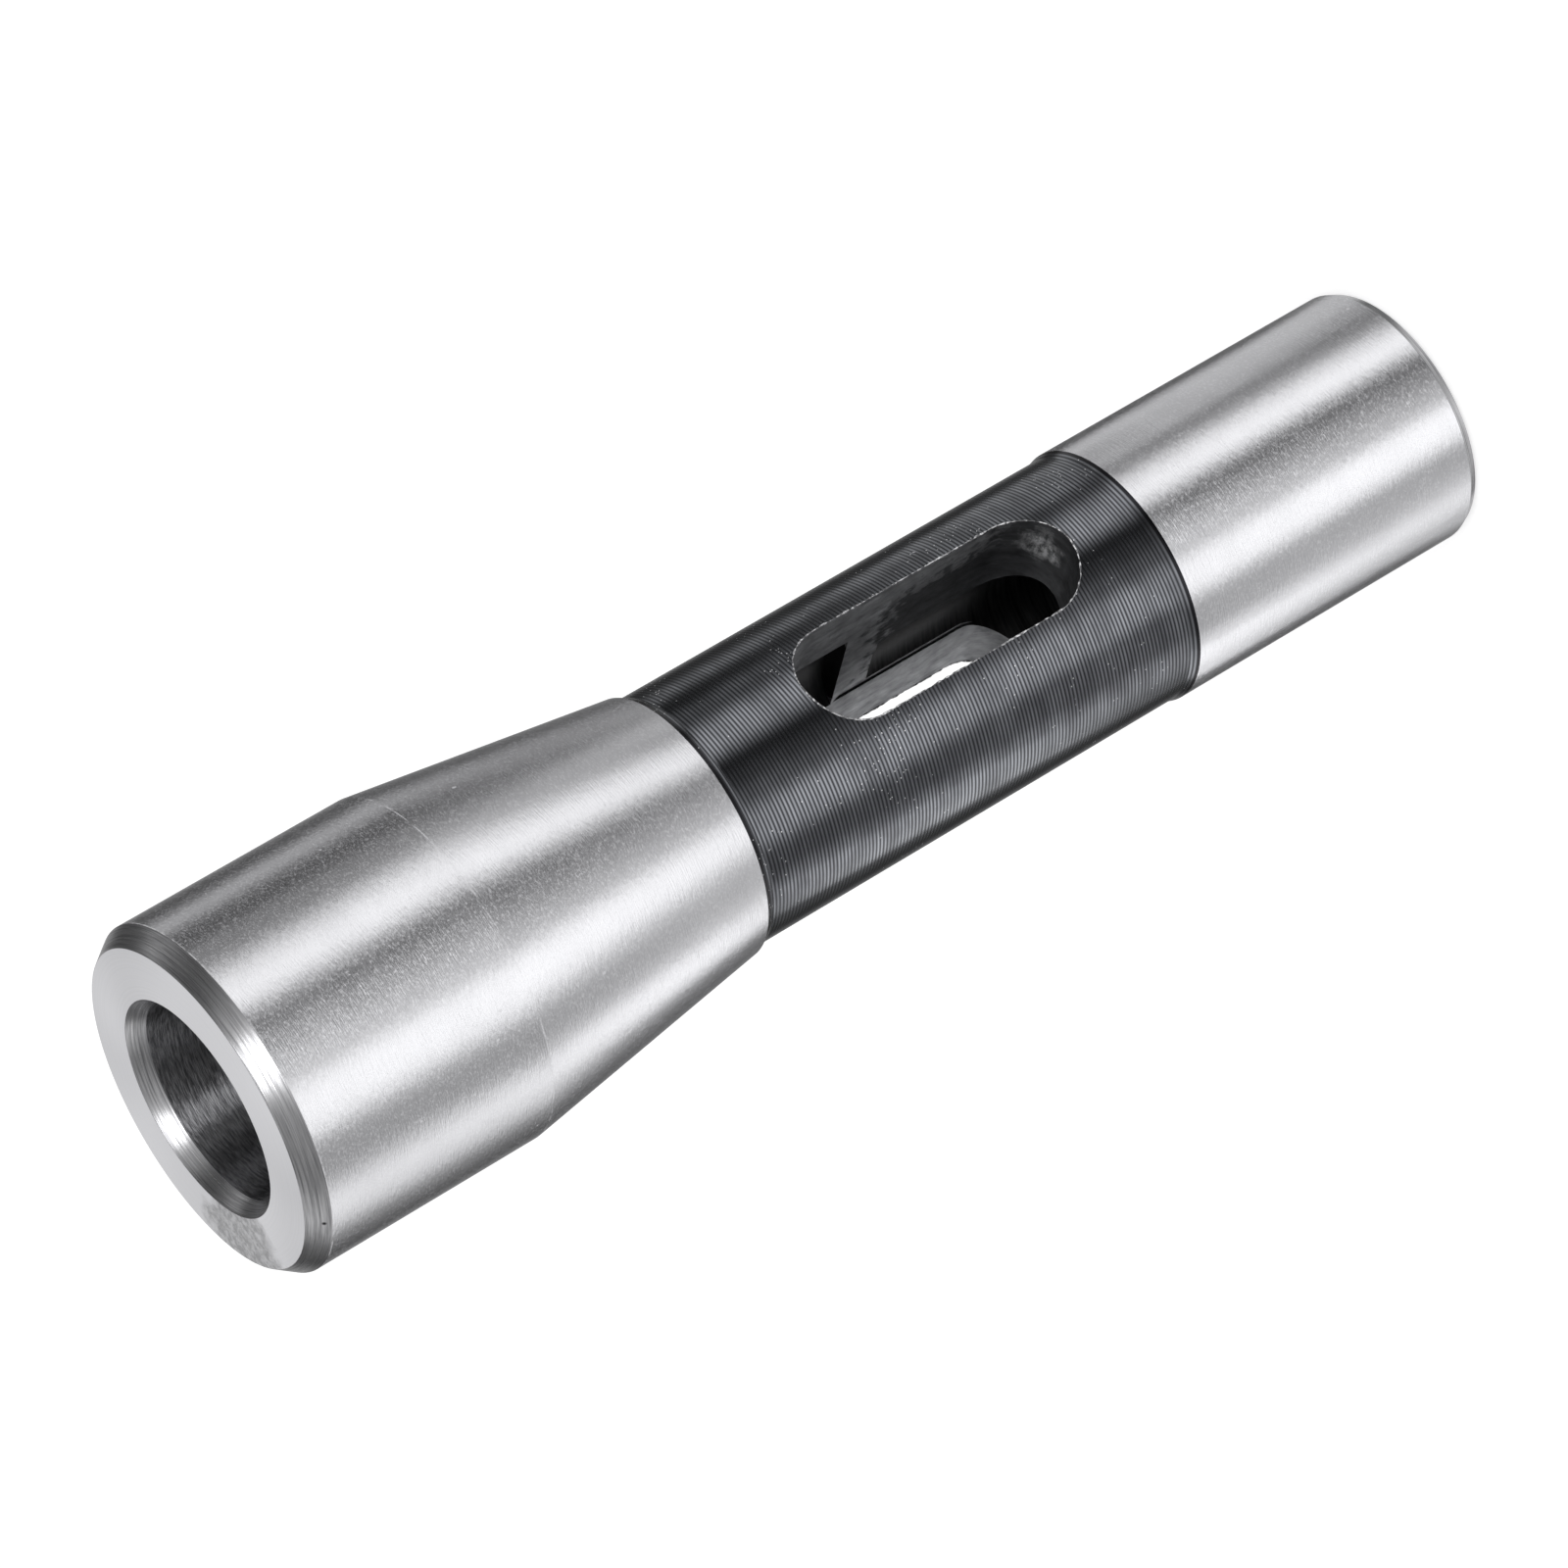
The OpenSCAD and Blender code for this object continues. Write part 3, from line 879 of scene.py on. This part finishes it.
def screen(name, low, high, bands):
    """A ring screen between two elevations, in degrees from the middle of the part.

    Its bands are pairs of degrees from the camera's side and brightness."""
    bottom, top = (MID_HEIGHT + SCREEN_R * math.tan(math.radians(e)) for e in (low, high))
    clear_selection()
    bpy.ops.mesh.primitive_cylinder_add(
        vertices=180, radius=SCREEN_R, depth=top - bottom, end_fill_type="NOTHING",
        location=(0, 0, (bottom + top) / 2),
    )
    sheet = bpy.context.object
    sheet.name = name
    bpy.ops.object.transform_apply(location=True)
    paper, tree, output, place = new_finish(name + "_paper")
    split = add(tree, "ShaderNodeSeparateXYZ", {"Vector": place})
    angle = add(tree, MATH, (split.outputs["Y"], split.outputs["X"]), operation="ARCTAN2")
    share = add(
        tree, MATH,
        (angle.outputs[0], -1 / (2 * math.pi), CAMERA_AZIMUTH / 360 + 0.5),
        operation="MULTIPLY_ADD",
    )
    share = add(tree, MATH, (share.outputs[0],), operation="FRACT")
    ramp = add(tree, "ShaderNodeValToRGB", {"Fac": share.outputs[0]})
    ramp.color_ramp.interpolation = "EASE"
    stops = ramp.color_ramp.elements
    while len(stops) < len(bands):
        stops.new(0.5)
    for stop, (azimuth, level) in zip(stops, bands):
        stop.position = azimuth / 360 + 0.5
        stop.color = (level, level, level, 1.0)
    tone = add(tree, "ShaderNodeEmission", {"Color": ramp.outputs["Color"], "Strength": 1.0})
    tree.links.new(tone.outputs[0], output.inputs["Surface"])
    hidden_but_for_gloss(sheet, paper)


LOW_BANDS = [
    (-180, 0.9), (-164, 0.35), (-150, 0.06), (-136, 0.1), (-119, 0.58), (-105, 0.04),
    (-97, 0.03), (-84, 0.34), (-76, 0.3), (-55, 1.38), (-46, 1.46), (-25, 0.02), (-10, 0.13),
    (6, 0.41), (26, 1.52), (40, 1.56), (60, 0.38), (73, 0.34), (97, 1.16), (106, 1.08),
    (128, 0.27), (148, 0.04), (164, 0.3), (180, 0.8),
]
HIGH_BANDS = [
    (-180, 1.0), (-166, 0.8), (-150, 0.1), (-130, 0.06), (-115, 0.5), (-98, 0.16), (-84, 0.06),
    (-62, 0.14), (-46, 0.5), (-20, 0.5), (8, 0.9), (28, 0.5), (50, 0.4), (82, 0.22), (100, 0.5),
    (116, 0.75), (134, 0.1), (150, 0.1), (166, 0.8), (180, 1.0),
]
screen("low_screen", SCREEN_LOW, SCREEN_EDGE, LOW_BANDS)
screen("high_screen", SCREEN_EDGE, SCREEN_HIGH, HIGH_BANDS)

# %% small cards close to the part
# They stand low and near, so what is level with them mirrors them, and the nose, higher up,
# hardly does. Two light the shank, one the waist, and two the rim at the drawbar end.
CARD_DISTANCE = 0.09


def light_card(card, name, strength):
    """Makes a sheet an even white card of that brightness."""
    card.name = name
    paper, tree, output = new_material(name + "_paper")
    tone = add(tree, "ShaderNodeEmission", {"Color": linear("#FFFFFF"), "Strength": strength})
    tree.links.new(tone.outputs[0], output.inputs["Surface"])
    hidden_but_for_gloss(card, paper)


def near_card(name, azimuth, height, size, strength):
    """A card at so many degrees from the camera, with its height and size in millimetres."""
    clear_selection()
    way = math.radians(CAMERA_AZIMUTH - azimuth)
    east, north = CARD_DISTANCE * math.cos(way), CARD_DISTANCE * math.sin(way)
    bpy.ops.mesh.primitive_plane_add(
        size=1, location=(east, north, height * MM), rotation=(math.pi / 2, 0, way + math.pi / 2),
    )
    card = bpy.context.object
    card.scale = (size[0] * MM, size[1] * MM, 1)
    light_card(card, name, strength)


near_card("shank_card_left", -104, -12, (76, 50), 0.75)
near_card("shank_card_right", 64, -12, (34, 50), 0.6)
near_card("waist_card", 105, 20, (50, 32), 1.9)
near_card("rim_card_left", -149, -68, (70, 40), 0.8)
near_card("rim_card_right", 149, -68, (70, 40), 0.8)

# %% cards above and below
# The one above is dark. The one below is paler, because the rim at the drawbar end mirrors it.
TOP_HEIGHT, BASE_HEIGHT = MID_HEIGHT + SCREEN_R * math.tan(math.radians(SCREEN_HIGH)), -2.76
LIDS = [("card_above", TOP_HEIGHT, 0.12), ("card_below", BASE_HEIGHT, 0.7)]
for name, height, strength in LIDS:
    clear_selection()
    bpy.ops.mesh.primitive_circle_add(
        vertices=64, radius=SCREEN_R, fill_type="NGON", location=(0, 0, height),
    )
    light_card(bpy.context.object, name, strength)

# %% lamp
# One soft lamp, high up and nearly on the camera's side. Sizes and distances in metres
LAMP_WIDTH, LAMP_DEPTH, LAMP_POWER = 0.62, 0.65, 5.4
LAMP_TURN, LAMP_ELEVATION, LAMP_DISTANCE, LAMP_AIM = 6, 47, 1.5, 0.064
lamp = bpy.data.objects.new("soft_lamp", bpy.data.lights.new("soft_lamp", "AREA"))
scene.collection.objects.link(lamp)
lamp.data.shape, lamp.data.size, lamp.data.size_y = "RECTANGLE", LAMP_WIDTH, LAMP_DEPTH
lamp.data.energy = LAMP_POWER
turned, raised = math.radians(CAMERA_AZIMUTH + LAMP_TURN), math.radians(LAMP_ELEVATION)
lamp_way = Vector(
    (math.cos(turned) * math.cos(raised), math.sin(turned) * math.cos(raised), math.sin(raised))
)
lamp.location = lamp_way * LAMP_DISTANCE + Vector((0, 0, LAMP_AIM))
lamp.rotation_mode = "QUATERNION"
lamp.rotation_quaternion = lamp_way.to_track_quat("Z", "Y")
